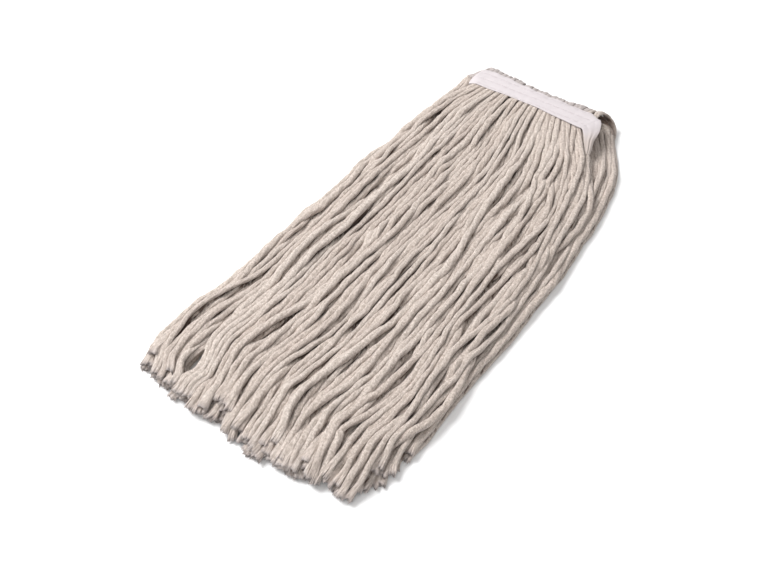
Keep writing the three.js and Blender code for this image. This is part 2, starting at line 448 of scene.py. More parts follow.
def turn_line(i, bulge):
    """Half circle from the end of the sewn stretch round to the back skirt."""
    angle = np.linspace(0, math.pi, TURN_STEPS + 1)
    radius = turn_radius[i]
    x = core_x[i] + (back_x[i] - core_x[i]) * ((1 - np.cos(angle)) / 2) ** 1.4
    y = TURN_Y + (radius * 1.1 + bulge) * np.sin(angle)
    z = TURN_Z + radius * np.cos(angle)
    return np.stack([x, y, z], axis=1)


def turn_swell(x):
    """The fold stands out further towards both ends of the band than in the middle."""
    left = 8.0 * math.exp(-(((x + 56) / 32) ** 2))
    right = 2.4 * smoothstep(x, 24, 44) + 2.5 * math.exp(-(((x - 67) / 9) ** 2))
    return left + right - 0.5


class Yarn:
    """One yarn from its front cut end to its back cut end, with the rings it is swept from."""


def lay_yarn(yarn, i, outer):
    """Lays the centreline. Returns how far each of its rings is from the band's front edge."""
    front = resample(trimmed(front_x[i], front_z[i], front_cut[i])[::-1], STEP)
    back = resample(trimmed(skirt_x[i], skirt_z[i], back_cut[i]), STEP)
    scallop = 1.2 * math.sin(core_x[i] / 3.2 + 1.5 * math.sin(core_x[i] / 13))
    turn = turn_line(i, outer * (turn_swell(core_x[i]) + scallop + rng.normal(0, 0.3)))
    yarn.points = np.vstack([front, turn[1:-1], back])
    yarn.front_end = len(front) - 1
    yarn.back_start = len(front) + len(turn) - 2
    yarn.middle = (yarn.front_end + yarn.back_start) // 2
    yarn.along = lengths_along(yarn.points)
    return np.concatenate([BAND_FRONT - front[:, 1], np.full(len(turn) - 2, CORE_END),
                           BAND_FRONT - back[:, 1]])


def size_rings(yarn, distance, full, outer):
    """Width and height of the rings, pressed flat in the band and swollen in the turn."""
    thick = rng.uniform(THINNEST, THICKEST)
    pressed = LEAVING_WIDTH + (PRESSED_WIDTH - LEAVING_WIDTH) * smoothstep(-distance, 12, 26)
    yarn.wide = pressed + (FULL_WIDTH * thick * YARN_RADIUS - pressed) * full
    yarn.high = PRESSED_RADIUS + (FULL_HEIGHT * thick * YARN_RADIUS - PRESSED_RADIUS) * full
    in_turn = np.zeros(len(yarn.points))
    in_turn[yarn.front_end:yarn.back_start] = np.sin(math.pi * np.linspace(0, 1, TURN_STEPS))
    in_turn = np.maximum(in_turn, 0)
    yarn.high = yarn.high + TURN_SWELL_HIGH * outer * in_turn
    yarn.wide = yarn.wide + TURN_SWELL_WIDE * outer * in_turn
    return in_turn > 0


def paint_turn_shade(yarn, place, outer, in_turn):
    """Painted shade on the outside of the fold: it is painted greyer than the skirts, without painted
    dark gaps.
    """
    depth = yarn.points[:, 1] - BAND_FRONT
    behind = smoothstep(depth, 19, 25) * outer
    behind = behind * (1 - smoothstep(place, 0.75, 0.95))
    left_end = smoothstep(depth, 0, 12) * smoothstep(-place, 0.75, 0.93)
    behind = np.maximum(behind, left_end * in_turn)
    yarn.grey = TURN_SHADE_GREY * behind
    yarn.lit = 1 - TURN_SHADE_LIFT * behind


def twist_yarn(yarn, full):
    """Slubs, twist and crimp, and the frame of each ring."""
    along = yarn.along
    slub = 1 + 0.04 * ripple(along, 7, 12)
    slub += 0.08 * ripple(along, 20, 40)
    yarn.wide *= slub
    yarn.high *= 1 + 0.5 * (slub - 1)
    turns = 2 * math.pi * along / rng.uniform(SHORTEST_TWIST, LONGEST_TWIST)
    yarn.twist = turns + rng.uniform(0, ANY_PHASE) + 0.5 * ripple(along, 14, 26)
    tangent = np.gradient(yarn.points, axis=0)
    tangent /= np.linalg.norm(tangent, axis=1)[:, None]
    across = np.array([1.0, 0, 0]) - tangent * tangent[:, :1]
    across /= np.linalg.norm(across, axis=1)[:, None]
    yarn.tangent, yarn.across, yarn.normal = tangent, across, np.cross(across, tangent)
    sideways = across * ripple(along, SHORTEST_CRIMP, LONGEST_CRIMP)[:, None]
    upward = yarn.normal * ripple(along, SHORTEST_CRIMP, LONGEST_CRIMP)[:, None]
    yarn.points = yarn.points + (full * CRIMP)[:, None] * (sideways + upward)


def make_yarn(i):
    yarn = Yarn()
    yarn.row = row[i]
    outer = smoothstep(turn_radius[i], 4, 11)
    distance = lay_yarn(yarn, i, outer)
    full = smoothstep(distance, 0, FULL_AT)
    in_turn = size_rings(yarn, distance, full, outer)
    paint_turn_shade(yarn, share[i], outer, in_turn)
    twist_yarn(yarn, full)
    yarn.points[:, 0] += BAND_X
    yarn.tint = rng.uniform(0, 1)
    return yarn


yarns = [make_yarn(i) for i in range(YARNS)]

# ---- how deep a place lies in the pile, and the shade painted there

PILE_CELL = 1.2
PILE_MARGIN = 20
# how dark the shade painted between buried yarns gets
BURIED_SHADE = 0.95


def pile_index(points):
    """Cell of the pile's height maps that holds each point."""
    low = np.array(cad_low) / METRE - PILE_MARGIN
    high = np.array(cad_high) / METRE + PILE_MARGIN
    shape = np.ceil((high - low)[:2] / PILE_CELL).astype(int)
    cell = ((points[:, :2] - low[:2]) / PILE_CELL).astype(int)
    cell = np.clip(cell, 0, shape - 1)
    return cell[:, 0] * shape[1] + cell[:, 1], int(shape[0] * shape[1])


def map_pile(pick_rings):
    """Height of one skirt's highest and lowest yarn surface over each cell."""
    _, cells = pile_index(yarns[0].points)
    top = np.full(cells, -1.0)
    bottom = np.full(cells, 100.0)
    for yarn in yarns:
        rings = pick_rings(yarn)
        centre, across = yarn.points[rings], yarn.across[rings]
        wide, high = yarn.wide[rings], yarn.high[rings]
        for side in np.linspace(-0.9, 0.9, 5):
            rise = high * math.sqrt(1 - side * side)
            points = centre + across * (wide * side)[:, None]
            halfway = (points[1:] + points[:-1]) / 2
            for places, height in ((points, rise), (halfway, rise[1:])):
                cell, _ = pile_index(places)
                np.maximum.at(top, cell, places[:, 2] + height)
                np.minimum.at(bottom, cell, places[:, 2] - height)
    return top, bottom


front_pile = map_pile(lambda yarn: slice(0, yarn.front_end + 1))
back_pile = map_pile(lambda yarn: slice(yarn.back_start, None))


def darkened(depth):
    """Painted shade: 0 on the outside of the pile, up to BURIED_SHADE deep between the yarns."""
    return BURIED_SHADE * smoothstep(depth, 1.8, 4.8)


def buried(points, pile):
    """Painted shade of points inside one skirt; both faces of the skirt are left unshaded."""
    top, bottom = pile
    cell, _ = pile_index(points)
    return darkened(np.minimum(top[cell] - points[:, 2], points[:, 2] - bottom[cell] + 1.5))


def buried_in_turn(yarn, angles, high):
    """Painted shade of ring points in the turn, by how many rows of yarn lie outside and inside them."""
    outward = np.sin(angles) * high[:, None]
    from_outside = 2 * yarn.row * high[:, None] + high[:, None] - outward
    from_inside = 2 * (ROWS - 1 - yarn.row) * high[:, None] + high[:, None] + outward
    return darkened(np.minimum(from_outside, from_inside)).ravel()

# ---- meshes


class MeshParts:
    """Collects vertices, faces and per-vertex values of one piece."""

    def __init__(self):
        self.points, self.faces, self.fibre = [], [], []
        self.values = {"tint": [], "shade": [], "grey": []}
        self.count = 0

    def add(self, points, quads, fibre, tint=0.5, shade=0.0, grey=0.0):
        self.points.append(points)
        self.faces.append(quads + self.count)
        self.fibre.append(fibre)
        for label, values in (("tint", tint), ("shade", shade), ("grey", grey)):
            self.values[label].append(np.broadcast_to(values, len(points)))
        self.count += len(points)


def build(name, parts, material):
    """Makes a mesh from quads; a quad whose last two corners are alike is a triangle."""
    points = np.vstack(parts.points)
    points[:, 2] = np.maximum(points[:, 2], FLOOR_CLEARANCE)
    points = points * METRE
    faces = np.vstack(parts.faces).astype(np.int32)
    is_triangle = faces[:, 2] == faces[:, 3]
    totals = np.where(is_triangle, 3, 4).astype(np.int32)
    keep = np.ones(faces.shape, bool)
    keep[is_triangle, 3] = False
    corners = faces[keep]
    starts = np.concatenate([[0], np.cumsum(totals)[:-1]]).astype(np.int32)
    mesh = bpy.data.meshes.new(name)
    mesh.vertices.add(len(points))
    mesh.vertices.foreach_set("co", points.astype(np.float32).ravel())
    mesh.loops.add(len(corners))
    mesh.loops.foreach_set("vertex_index", corners)
    mesh.polygons.add(len(totals))
    mesh.polygons.foreach_set("loop_start", starts)
    mesh.polygons.foreach_set("loop_total", totals)
    mesh.polygons.foreach_set("use_smooth", np.ones(len(totals), bool))
    mesh.update(calc_edges=True)
    mesh.validate()
    fibre = mesh.attributes.new("fibre", "FLOAT_VECTOR", "POINT")
    fibre.data.foreach_set("vector", np.vstack(parts.fibre).astype(np.float32).ravel())
    for label, values in parts.values.items():
        attribute = mesh.attributes.new(label, "FLOAT", "POINT")
        attribute.data.foreach_set("value", np.concatenate(values).astype(np.float32))
    mesh.materials.append(material)
    return add_object(name, mesh)


def tube_faces(rings, sides):
    """Quads of a tube, with a fan of triangles at each end, on rings then two cap centres."""
    ring = np.arange(rings - 1)[:, None] * sides
    side = np.arange(sides)[None, :]
    following = (side + 1) % sides
    quads = np.stack([ring + side, ring + following, ring + sides + following, ring + sides + side],
                     axis=-1).reshape(-1, 4)
    first, last = rings * sides, rings * sides + 1
    side, following = side.ravel(), following.ravel()
    end = (rings - 1) * sides
    start_cap = np.stack([following, side, np.full(sides, first), np.full(sides, first)], axis=1)
    end_cap = np.stack([end + side, end + following, np.full(sides, last), np.full(sides, last)], axis=1)
    return np.vstack([quads, start_cap, end_cap])


def sweep(points, u, v, wide, high, angles, shape):
    """Ring vertices of a tube: shape is the radius factor of each side, angles one row per ring."""
    cosines = np.cos(angles) * wide[:, None] * shape
    sines = np.sin(angles) * high[:, None] * shape
    rings = points[:, None, :] + cosines[..., None] * u[:, None, :] + sines[..., None] * v[:, None, :]
    return np.vstack([rings.reshape(-1, 3), points[0], points[-1]])


def around(sides):
    """Angle of each side of a tube."""
    return 2 * math.pi * np.arange(sides) / sides


def per_vertex(values, sides, caps=None):
    """One value a ring, repeated round it, then the values of the tube's two cap centres."""
    if caps is None:
        caps = values[[0, -1]]
    return np.concatenate([np.repeat(values, sides), caps])


PLIES = 4
SIDES = 12
side_angle = around(SIDES)
is_groove = np.arange(SIDES) % (SIDES // PLIES) == 0
PLY_SHAPE = np.where(is_groove, 0.86, 1.03)
BRUSH = 17.0
TIP_GREY = 0.52
TIP_FADE = 2.2
# darkness of the shade painted in the ply grooves
GROOVE_SHADE = 0.20
HIDDEN_END = 0.45
FIBRE_SHIFT = 40


def add_yarn_body(parts, yarn, first, last, taper_first=False, taper_last=False):
    """The twisted body of the yarn between two rings."""
    cut = slice(first, last + 1)
    angles = yarn.twist[cut][:, None] + side_angle
    wide, high = yarn.wide[cut].copy(), yarn.high[cut].copy()
    for on, ring in ((taper_first, 0), (taper_last, -1)):
        if on:
            wide[ring] *= HIDDEN_END
            high[ring] *= HIDDEN_END
    points = sweep(yarn.points[cut], yarn.across[cut], yarn.normal[cut], wide, high, angles, PLY_SHAPE)
    rings = last - first + 1
    along = np.repeat(yarn.along[cut], SIDES)
    ring_cos = np.tile(np.cos(side_angle), rings)
    ring_sin = np.tile(np.sin(side_angle), rings)
    fibre = np.stack([ring_cos, ring_sin, along / YARN_RADIUS], axis=1)
    ends = np.array([[0, 0, along[0] / YARN_RADIUS], [0, 0, along[-1] / YARN_RADIUS]])
    fibre = np.vstack([fibre, ends]) + np.array([0, 0, FIBRE_SHIFT * yarn.tint])
    groove = np.concatenate([np.tile(is_groove * 1.0, rings), [1, 1]])
    grey = per_vertex(end_darkness(yarn, yarn.along[cut]) + yarn.grey[cut], SIDES)
    if last <= yarn.front_end:
        inside = buried(points, front_pile)
    elif first >= yarn.back_start:
        inside = buried(points, back_pile)
    else:
        inside = buried_in_turn(yarn, angles, high)
        inside = np.concatenate([inside, inside[[0, -1]]])
    # painted shade in the ply grooves and between the yarns, less of it on the grey-painted fold
    shade = (GROOVE_SHADE * groove + inside) * per_vertex(yarn.lit[cut], SIDES)
    parts.add(points, tube_faces(rings, SIDES), fibre, yarn.tint, shade, grey)


def end_darkness(yarn, along):
    """TIP_GREY at a cut end, fading away within some millimetres up the yarn."""
    nearest = np.minimum(along, yarn.along[-1] - along)
    return TIP_GREY * np.exp(-np.maximum(nearest, 0) / TIP_FADE)


BRUSH_RINGS = 8
BRUSH_SIDES = 20
brush_angle = around(BRUSH_SIDES)
LEAST_FLARE, MOST_FLARE = 0.25, 0.7
UNTWISTED_SIZE = 0.93
STRANDS = 9
STRAND_SIDES = 5
STRAND_RADIUS = 0.5
strand_angle = around(STRAND_SIDES)


def brush_grey(opened):
    """Grey of a brush from its root at 0 to its cut at 1."""
    return TIP_GREY * np.exp(-BRUSH * (1 - opened) / TIP_FADE)


def add_brush(parts, yarn, at_front):
    """A cut end: the plies untwist and flare out like a brush to a flat, ragged cut."""
    pile = front_pile if at_front else back_pile
    order = np.arange(len(yarn.points))
    if not at_front:
        order = order[::-1]
    nearest = np.abs(yarn.along[order] - yarn.along[order[0]])
    last = int(np.searchsorted(nearest, BRUSH)) + 1
    ring_at = np.linspace(last, 0, BRUSH_RINGS)
    index = np.arange(last + 1)

    def pick(values):
        values = values[order[:last + 1]]
        if values.ndim == 1:
            return np.interp(ring_at, index, values)
        return np.stack([np.interp(ring_at, index, values[:, k]) for k in range(3)], axis=1)

    across, normal = pick(yarn.across), pick(yarn.normal)
    opened = np.linspace(0, 1, BRUSH_RINGS)
    heading = pick(yarn.tangent) * (-1 if at_front else 1)
    drift = rng.normal(0, 0.8, 2)
    centre = pick(yarn.points) + across * (drift[0] * opened ** 2)[:, None]
    centre[:, 2] += -0.8 * opened ** 2
    flare = rng.uniform(LEAST_FLARE, MOST_FLARE)
    wide = pick(yarn.wide) * (UNTWISTED_SIZE + flare * opened ** 1.6)
    high = pick(yarn.high) * (UNTWISTED_SIZE + 0.3 * flare * opened ** 1.6)
    centre[:, 2] = np.maximum(centre[:, 2], high)
    slant = rng.normal(0, 0.9)
    turned = np.linspace(0, rng.uniform(0.5, 1.1), BRUSH_RINGS)[:, None]
    angles = pick(yarn.twist)[:1, None] + brush_angle + turned
    ridge = 1 + rng.normal(0, 0.11, BRUSH_SIDES) * (0.2 + opened[:, None])
    fingers = np.cos(PLIES * brush_angle + rng.normal(0, 0.5, BRUSH_SIDES))
    ridge = ridge + 0.17 * fingers * (0.35 + 0.65 * opened[:, None])
    points = sweep(centre, across, normal, wide, high, angles, ridge)
    rim = slice((BRUSH_RINGS - 1) * BRUSH_SIDES, BRUSH_RINGS * BRUSH_SIDES)
    ragged = rng.uniform(-1.6, 0.6, BRUSH_SIDES) + slant * np.cos(angles[-1]) + 1.1 * fingers
    points[rim] += heading[-1] * ragged[:, None]
    points[-1] -= heading[-1] * rng.uniform(0.4, 1.0)
    steps = np.repeat(opened * BRUSH / YARN_RADIUS, BRUSH_SIDES)
    fibre = np.stack([np.tile(np.cos(brush_angle) * 2, BRUSH_RINGS),
                      np.tile(np.sin(brush_angle) * 2, BRUSH_RINGS), steps * 0.5], axis=1)
    fibre = np.vstack([fibre, [0, 0, 0], [3, 3, 0]]) + np.array([0, 0, FIBRE_SHIFT * yarn.tint])
    grey = per_vertex(brush_grey(opened), BRUSH_SIDES, (0, 0.95))
    # painted shade in the hollows between the flared plies and at the middle of the cut; the painted
    # pile shade fades towards the cut
    hollow = 0.5 * smoothstep(1 - ridge, 0.0, 0.22)
    hollow = hollow.ravel() * np.repeat(0.3 + 0.7 * opened, BRUSH_SIDES)
    shelter = per_vertex(1 - 0.5 * opened, BRUSH_SIDES, (1, 0.5))
    shade = np.concatenate([hollow, [0, 0.3]]) + buried(points, pile) * shelter
    parts.add(points, tube_faces(BRUSH_RINGS, BRUSH_SIDES), fibre, yarn.tint, shade, grey)
    for _ in range(STRANDS):
        add_strand(parts, yarn, pile, centre, across, normal, heading, wide, high, turned)


def add_strand(parts, yarn, pile, centre, across, normal, heading, wide, high, turned):
    """A strand of fibres that lies along the brush and ends a little before or past the cut."""
    first = int(rng.integers(1, BRUSH_RINGS - 3))
    rings = BRUSH_RINGS - first
    start = rng.uniform(0, 2 * math.pi)
    angle = start + turned[first:, 0] + np.linspace(0, rng.normal(0, 0.25), rings)
    lift = np.linspace(0.72, rng.uniform(0.85, 1.15), rings)
    line = centre[first:] + across[first:] * (wide[first:] * lift * np.cos(angle))[:, None]
    line = line + normal[first:] * (high[first:] * lift * np.sin(angle))[:, None]
    line[-1] += heading[-1] * rng.uniform(-0.8, 1.5)
    line[:, 2] = np.maximum(line[:, 2], 0.5)
    radius = np.full(rings, STRAND_RADIUS * rng.uniform(0.8, 1.25))
    radius[-1] *= 0.7
    angles = np.tile(strand_angle, (rings, 1))
    points = sweep(line, across[first:], normal[first:], radius, radius, angles, np.ones(STRAND_SIDES))
    fibre = np.tile([0.0, 0.0, 0.0], (len(points), 1))
    fibre[:, 0] = start
    fibre[:, 2] = FIBRE_SHIFT * yarn.tint + per_vertex(np.arange(rings), STRAND_SIDES, (0, rings))
    grey = per_vertex(brush_grey(np.linspace(1 - rings / BRUSH_RINGS, 1, rings)), STRAND_SIDES)
    parts.add(points, tube_faces(rings, STRAND_SIDES), fibre, yarn.tint, buried(points, pile), grey)
    add_loose_fibre(parts, line, across[first:], normal[first:], heading[first:], radius, yarn.tint)


LOOSE_RINGS = 4
LOOSE_SIDES = 3
loose_angle = around(LOOSE_SIDES)
LOOSE_THICKNESS = np.array([0.12, 0.12, 0.10, 0.05])
LOOSE_GREY = 0.35


def add_loose_fibre(parts, line, across, normal, heading, radius, tint):
    """A short fine fibre that sticks out of the end of a strand."""
    ring = rng.integers(len(line) - 2, len(line))
    angle = rng.uniform(0, 2 * math.pi)
    side = math.cos(angle) * across[ring] + math.sin(angle) * normal[ring]
    root = line[ring] + side * radius[ring] * rng.uniform(0.3, 0.85)
    aimed = heading[ring] + side * rng.uniform(0.0, 0.55) + rng.normal(0, 0.15, 3)
    aimed /= np.linalg.norm(aimed)
    t = np.linspace(0, 1, LOOSE_RINGS)[:, None]
    bow = rng.normal(0, 0.25, 3) * np.sin(math.pi * t)
    path = root + aimed * rng.uniform(1.6, 3.4) * t + bow - heading[ring] * 0.6
    path[:, 2] = np.maximum(path[:, 2], 0.3)
    u = np.tile(across[ring], (LOOSE_RINGS, 1))
    v = np.tile(normal[ring], (LOOSE_RINGS, 1))
    angles = np.tile(loose_angle, (LOOSE_RINGS, 1))
    points = sweep(path, u, v, LOOSE_THICKNESS, LOOSE_THICKNESS, angles, np.ones(LOOSE_SIDES))
    fibre = np.tile([0.0, 0.0, 3.0], (len(points), 1))
    parts.add(points, tube_faces(LOOSE_RINGS, LOOSE_SIDES), fibre, tint, grey=LOOSE_GREY)


# ---- materials


class NodeMaterial:
    """A procedural material, and the kinds of node that it is made of."""

    def __init__(self, name, roughness, specular, sheen):
        self.material = bpy.data.materials.new(name)
        self.material.use_nodes = True
        self.nodes = self.material.node_tree.nodes
        self.shader = self.nodes["Principled BSDF"]
        self.shader.inputs["Roughness"].default_value = roughness
        self.shader.inputs["Specular IOR Level"].default_value = specular
        self.shader.inputs["Sheen Weight"].default_value = sheen

    def link(self, source, socket):
        self.material.node_tree.links.new(source, socket)

    def attribute(self, name):
        node = self.nodes.new("ShaderNodeAttribute")
        node.attribute_name = name
        return node.outputs

    def combine(self, operation, a, b):
        node = self.nodes.new("ShaderNodeMath")
        node.operation = operation
        self.link(a, node.inputs[0])
        self.link(b, node.inputs[1])
        return node.outputs["Value"]

    def ramp(self, factor, stops):
        node = self.nodes.new("ShaderNodeValToRGB")
        for element, (position, colour) in zip(node.color_ramp.elements, stops):
            element.position = position
            element.color = colour + (1,)
        self.link(factor, node.inputs["Fac"])
        return node.outputs["Color"]

    def mix(self, factor, a, b, blend="MIX"):
        node = self.nodes.new("ShaderNodeMix")
        node.data_type = "RGBA"
        node.blend_type = blend
        for socket, value in (("Factor", factor), ("A", a), ("B", b)):
            if isinstance(value, (float, tuple)):
                node.inputs[socket].default_value = value
            else:
                self.link(value, node.inputs[socket])
        return node.outputs["Result"]

    def finish(self, colour, height, strength, depth):
        """Joins the colour and a bump map to the shader."""
        self.link(colour, self.shader.inputs["Base Color"])
        bump = self.nodes.new("ShaderNodeBump")
        bump.inputs["Strength"].default_value = strength
        bump.inputs["Distance"].default_value = depth
        self.link(height, bump.inputs["Height"])
        self.link(bump.outputs["Normal"], self.shader.inputs["Normal"])
        return self.material


WHITE = (1.0, 1.0, 1.0)
BLACK = (0.0, 0.0, 0.0)
COTTON_DARK = (0.55, 0.466, 0.41)
COTTON_LIGHT = (0.93, 0.832, 0.765)
CLOT_TONE = (0.72, 0.70, 0.68)
GRAIN_TONE = (0.76, 0.75, 0.735)
DARKEST_CAST = (0.90, 0.88, 0.87)
SEED_COLOUR = (0.22, 0.16, 0.12, 1.0)
GREYED_COTTON = (0.42, 0.375, 0.38, 1.0)
# colour of the shade painted between and under the yarns
PAINTED_SHADE_COLOUR = (0.085, 0.043, 0.025, 1.0)
# colour the right flap darkens to towards its tail
DARKER_TAIL_CLOTH = (0.48, 0.417, 0.378, 1.0)


def cotton_material():
    look = NodeMaterial("cotton_yarn", roughness=0.95, specular=0.15, sheen=0.25)
    look.shader.inputs["Sheen Roughness"].default_value = 0.6
    fibre = look.attribute("fibre")["Vector"]

    def noise(scale, stretch, detail):
        mapping = look.nodes.new("ShaderNodeMapping")
        mapping.inputs["Scale"].default_value = stretch
        look.link(fibre, mapping.inputs["Vector"])
        texture = look.nodes.new("ShaderNodeTexNoise")
        texture.inputs["Scale"].default_value = scale
        texture.inputs["Detail"].default_value = detail
        texture.inputs["Roughness"].default_value = 0.7
        look.link(mapping.outputs["Vector"], texture.inputs["Vector"])
        return texture.outputs["Fac"]

    streaks = noise(1.6, (5.0, 5.0, 0.8), 4.0)
    clots = noise(1.3, (1.1, 1.1, 0.9), 3.0)
    flecks = noise(2.1, (1.0, 1.0, 1.0), 1.0)
    grain = noise(2.6, (1.0, 1.0, 1.0), 2.0)
    colour = look.ramp(streaks, ((0.34, COTTON_DARK), (0.60, COTTON_LIGHT)))
    for factor, stops in (
        (clots, ((0.38, CLOT_TONE), (0.60, WHITE))),
        (grain, ((0.38, GRAIN_TONE), (0.60, WHITE))),
        (look.attribute("tint")["Fac"], ((0.0, DARKEST_CAST), (1.0, WHITE))),
    ):
        colour = look.mix(1.0, colour, look.ramp(factor, stops), "MULTIPLY")
    colour = look.mix(look.ramp(flecks, ((0.755, BLACK), (0.78, WHITE))), colour, SEED_COLOUR)
    # the grey attribute: greyer cut ends and loose fibres, and painted shade on the outside of the fold
    colour = look.mix(look.attribute("grey")["Fac"], colour, GREYED_COTTON)
    # mixes in the painted shade carried by the shade attribute
    colour = look.mix(look.attribute("shade")["Fac"], colour, PAINTED_SHADE_COLOUR)
    return look.finish(colour, look.combine("ADD", streaks, clots), strength=0.9, depth=0.001)


def cloth_material(name, colour, weave_pitch, strength):
    look = NodeMaterial(name, roughness=0.9, specular=0.2, sheen=0.2)
    place = look.attribute("fibre")["Vector"]
    waves = []
    for axis in ("X", "Y"):
        wave = look.nodes.new("ShaderNodeTexWave")
        wave.bands_direction = axis
        wave.inputs["Scale"].default_value = 2 * math.pi / (20 * weave_pitch)
        wave.inputs["Distortion"].default_value = 0.6
        look.link(place, wave.inputs["Vector"])
        waves.append(wave.outputs["Fac"])
    blotch = look.nodes.new("ShaderNodeTexNoise")
    blotch.inputs["Scale"].default_value = 0.12
    look.link(place, blotch.inputs["Vector"])
    darker = tuple(c * 0.93 for c in colour)
    tone = look.ramp(blotch.outputs["Fac"], ((0.3, darker), (0.7, colour)))
    # the grey attribute darkens the cloth towards the right flap's tail
    tail_toned = look.mix(look.attribute("grey")["Fac"], tone, DARKER_TAIL_CLOTH)
    return look.finish(tail_toned, look.combine("MULTIPLY", *waves), strength, depth=0.0003)


cotton = cotton_material()
tape_cloth = cloth_material("tape_cloth", (0.615, 0.565, 0.577), 0.9, 0.6)
thread_cotton = cloth_material("thread_cotton", (0.64, 0.59, 0.60), 0.5, 0.4)

# ---- yarn pieces


def ring_at_distance(yarn, distance):
    """Ring of the front skirt at a distance from the band's front edge, towards the cut end."""
    gone = BAND_FRONT - yarn.points[:yarn.front_end + 1, 1]
    return int(np.argmin(np.abs(gone - distance)))


FRONT_INSIDE = -6.0
BODY_STOP = 0.6  # share of the brush, from its cut, that the twisted body stays out of
FREE_REACH = 5.2
single_front = row == 0
single_back = (row == 0) & (column % 3 != 2)


def keep_near(points, path, reach):
    """Draws points that stray further than reach from a path back towards it."""
    away = ((points[:, None, :] - path[None, ::2, :]) ** 2).sum(axis=2)
    nearest = path[::2][np.argmin(away, axis=1)]
    offset = points - nearest
    length = np.linalg.norm(offset, axis=1)
    factor = np.where(length > reach, reach / np.maximum(length, reach), 1)
    return nearest + offset * factor[:, None]


def add_front_yarn(parts, yarn):
    tip = int(np.searchsorted(yarn.along, BRUSH * BODY_STOP))
    add_yarn_body(parts, yarn, tip, ring_at_distance(yarn, FRONT_INSIDE), taper_first=True)
    add_brush(parts, yarn, True)


def add_back_yarn(parts, yarn):
    tail = int(np.searchsorted(yarn.along, yarn.along[-1] - BRUSH * BODY_STOP))
    add_yarn_body(parts, yarn, yarn.back_start, tail, taper_last=True)
    add_brush(parts, yarn, False)


def lock_nodes(stretch):
    """The CAD nodes of one stretch of every lock."""
    return [f"{stretch}_lock_{k + 1:02d}" for k in range(LOCKS)]


def fasten(piece, body, node):
    """Hangs a piece on one body, in place of a CAD node."""
    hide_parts(node)
    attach(piece, body)


def fasten_at_front_edge(piece, node):
    """Hides a CAD node and bakes the piece's placement into its mesh, leaving it on no body."""
    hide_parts(node)
    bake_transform(piece)


def make_single(name, add_yarn, yarn, path):
    parts = MeshParts()
    add_yarn(parts, yarn)
    parts.points = [keep_near(points, path, FREE_REACH) for points in parts.points]
    piece = build(name, parts, cotton)
    return piece


def make_lock(number):
    """The front, sewn and back stretches of one lock; its single yarns are pieces of their own."""
    label = f"{number + 1:02d}"
    front_node, back_node = f"front_lock_{label}", f"back_lock_{label}"
    front_parts, core_parts, back_parts = MeshParts(), MeshParts(), MeshParts()
    for i in np.flatnonzero(lock == number):
        yarn = yarns[i]
        name = f"yarn_{column[i] + 1:02d}"
        inside = ring_at_distance(yarn, FRONT_INSIDE)
        add_yarn_body(core_parts, yarn, inside, yarn.front_end)
        if single_front[i]:
            path = yarn.points[:inside + 1]
            piece = make_single(f"front_{name}", add_front_yarn, yarn, path)
            fasten_at_front_edge(piece, front_node)
        else:
            add_front_yarn(front_parts, yarn)
        if single_back[i]:
            path = yarn.points[yarn.back_start:]
            piece = make_single(f"back_{name}", add_back_yarn, yarn, path)
            fasten(piece, "back_skirt", back_node)
        else:
            add_back_yarn(back_parts, yarn)
    fasten_at_front_edge(build(f"front_yarns_{label}", front_parts, cotton), front_node)
    fasten(build(f"back_yarns_{label}", back_parts, cotton), "back_skirt", back_node)
    core = build(f"sewn_yarns_{label}", core_parts, cotton)
    fasten(core, "headband", f"sewn_lock_{label}")


def make_turn_row(number):
    """One row of yarns round the fold, in an upper and a lower piece."""
    radius = turn_radius[number]
    upper_parts, lower_parts = MeshParts(), MeshParts()
    for yarn in yarns[number::ROWS]:
        add_yarn_body(upper_parts, yarn, yarn.front_end, yarn.middle)
        add_yarn_body(lower_parts, yarn, yarn.middle, yarn.back_start)
    for half, parts, body, height in (("upper", upper_parts, "headband", TURN_Z + radius),
                                      ("lower", lower_parts, "back_skirt", TURN_Z - radius)):
        piece = build(f"turn_{half}_{number + 1}", parts, cotton)
        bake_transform(piece)
        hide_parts(*lock_nodes("turn"))


for number in range(LOCKS):
    make_lock(number)

for number in range(ROWS):
    make_turn_row(number)

# ---- tapes, flaps and stitches

STITCH_ROWS = (3.5, 12.75, 22)
STITCHES = 15
STITCHED_HALF = BAND_HALF - 2
STITCH_PITCH = 2 * STITCHED_HALF / STITCHES
CLOTH_THICKNESS = 1.1
CELL = 0.9
band_u = np.linspace(0, 1, int(2 * BAND_HALF / CELL) + 1)[:, None]
band_v = np.linspace(0, 1, int(BAND_WIDTH / CELL) + 1)[None, :]


def on_band(x, y, z):
    """Points of the mop head from places on the band."""
    return np.stack([x + BAND_X, y + BAND_FRONT, z], axis=-1)


def hole_distance(x):
    """Distance along the band to the nearest needle hole."""
    place = (x + STITCHED_HALF) / STITCH_PITCH
    return np.abs(place - np.round(place)) * STITCH_PITCH


def pucker(x, y):
    """How far the stitching draws the cloth in, at a place on the band."""
    drawn = np.zeros(np.broadcast(x, y).shape)
    for stitch_row in STITCH_ROWS:
        valley = np.exp(-(((y - stitch_row) / 1.3) ** 2))
        drawn = drawn + valley * (0.30 + 0.30 * np.exp(-((hole_distance(x) / 1.6) ** 2)))
    return drawn


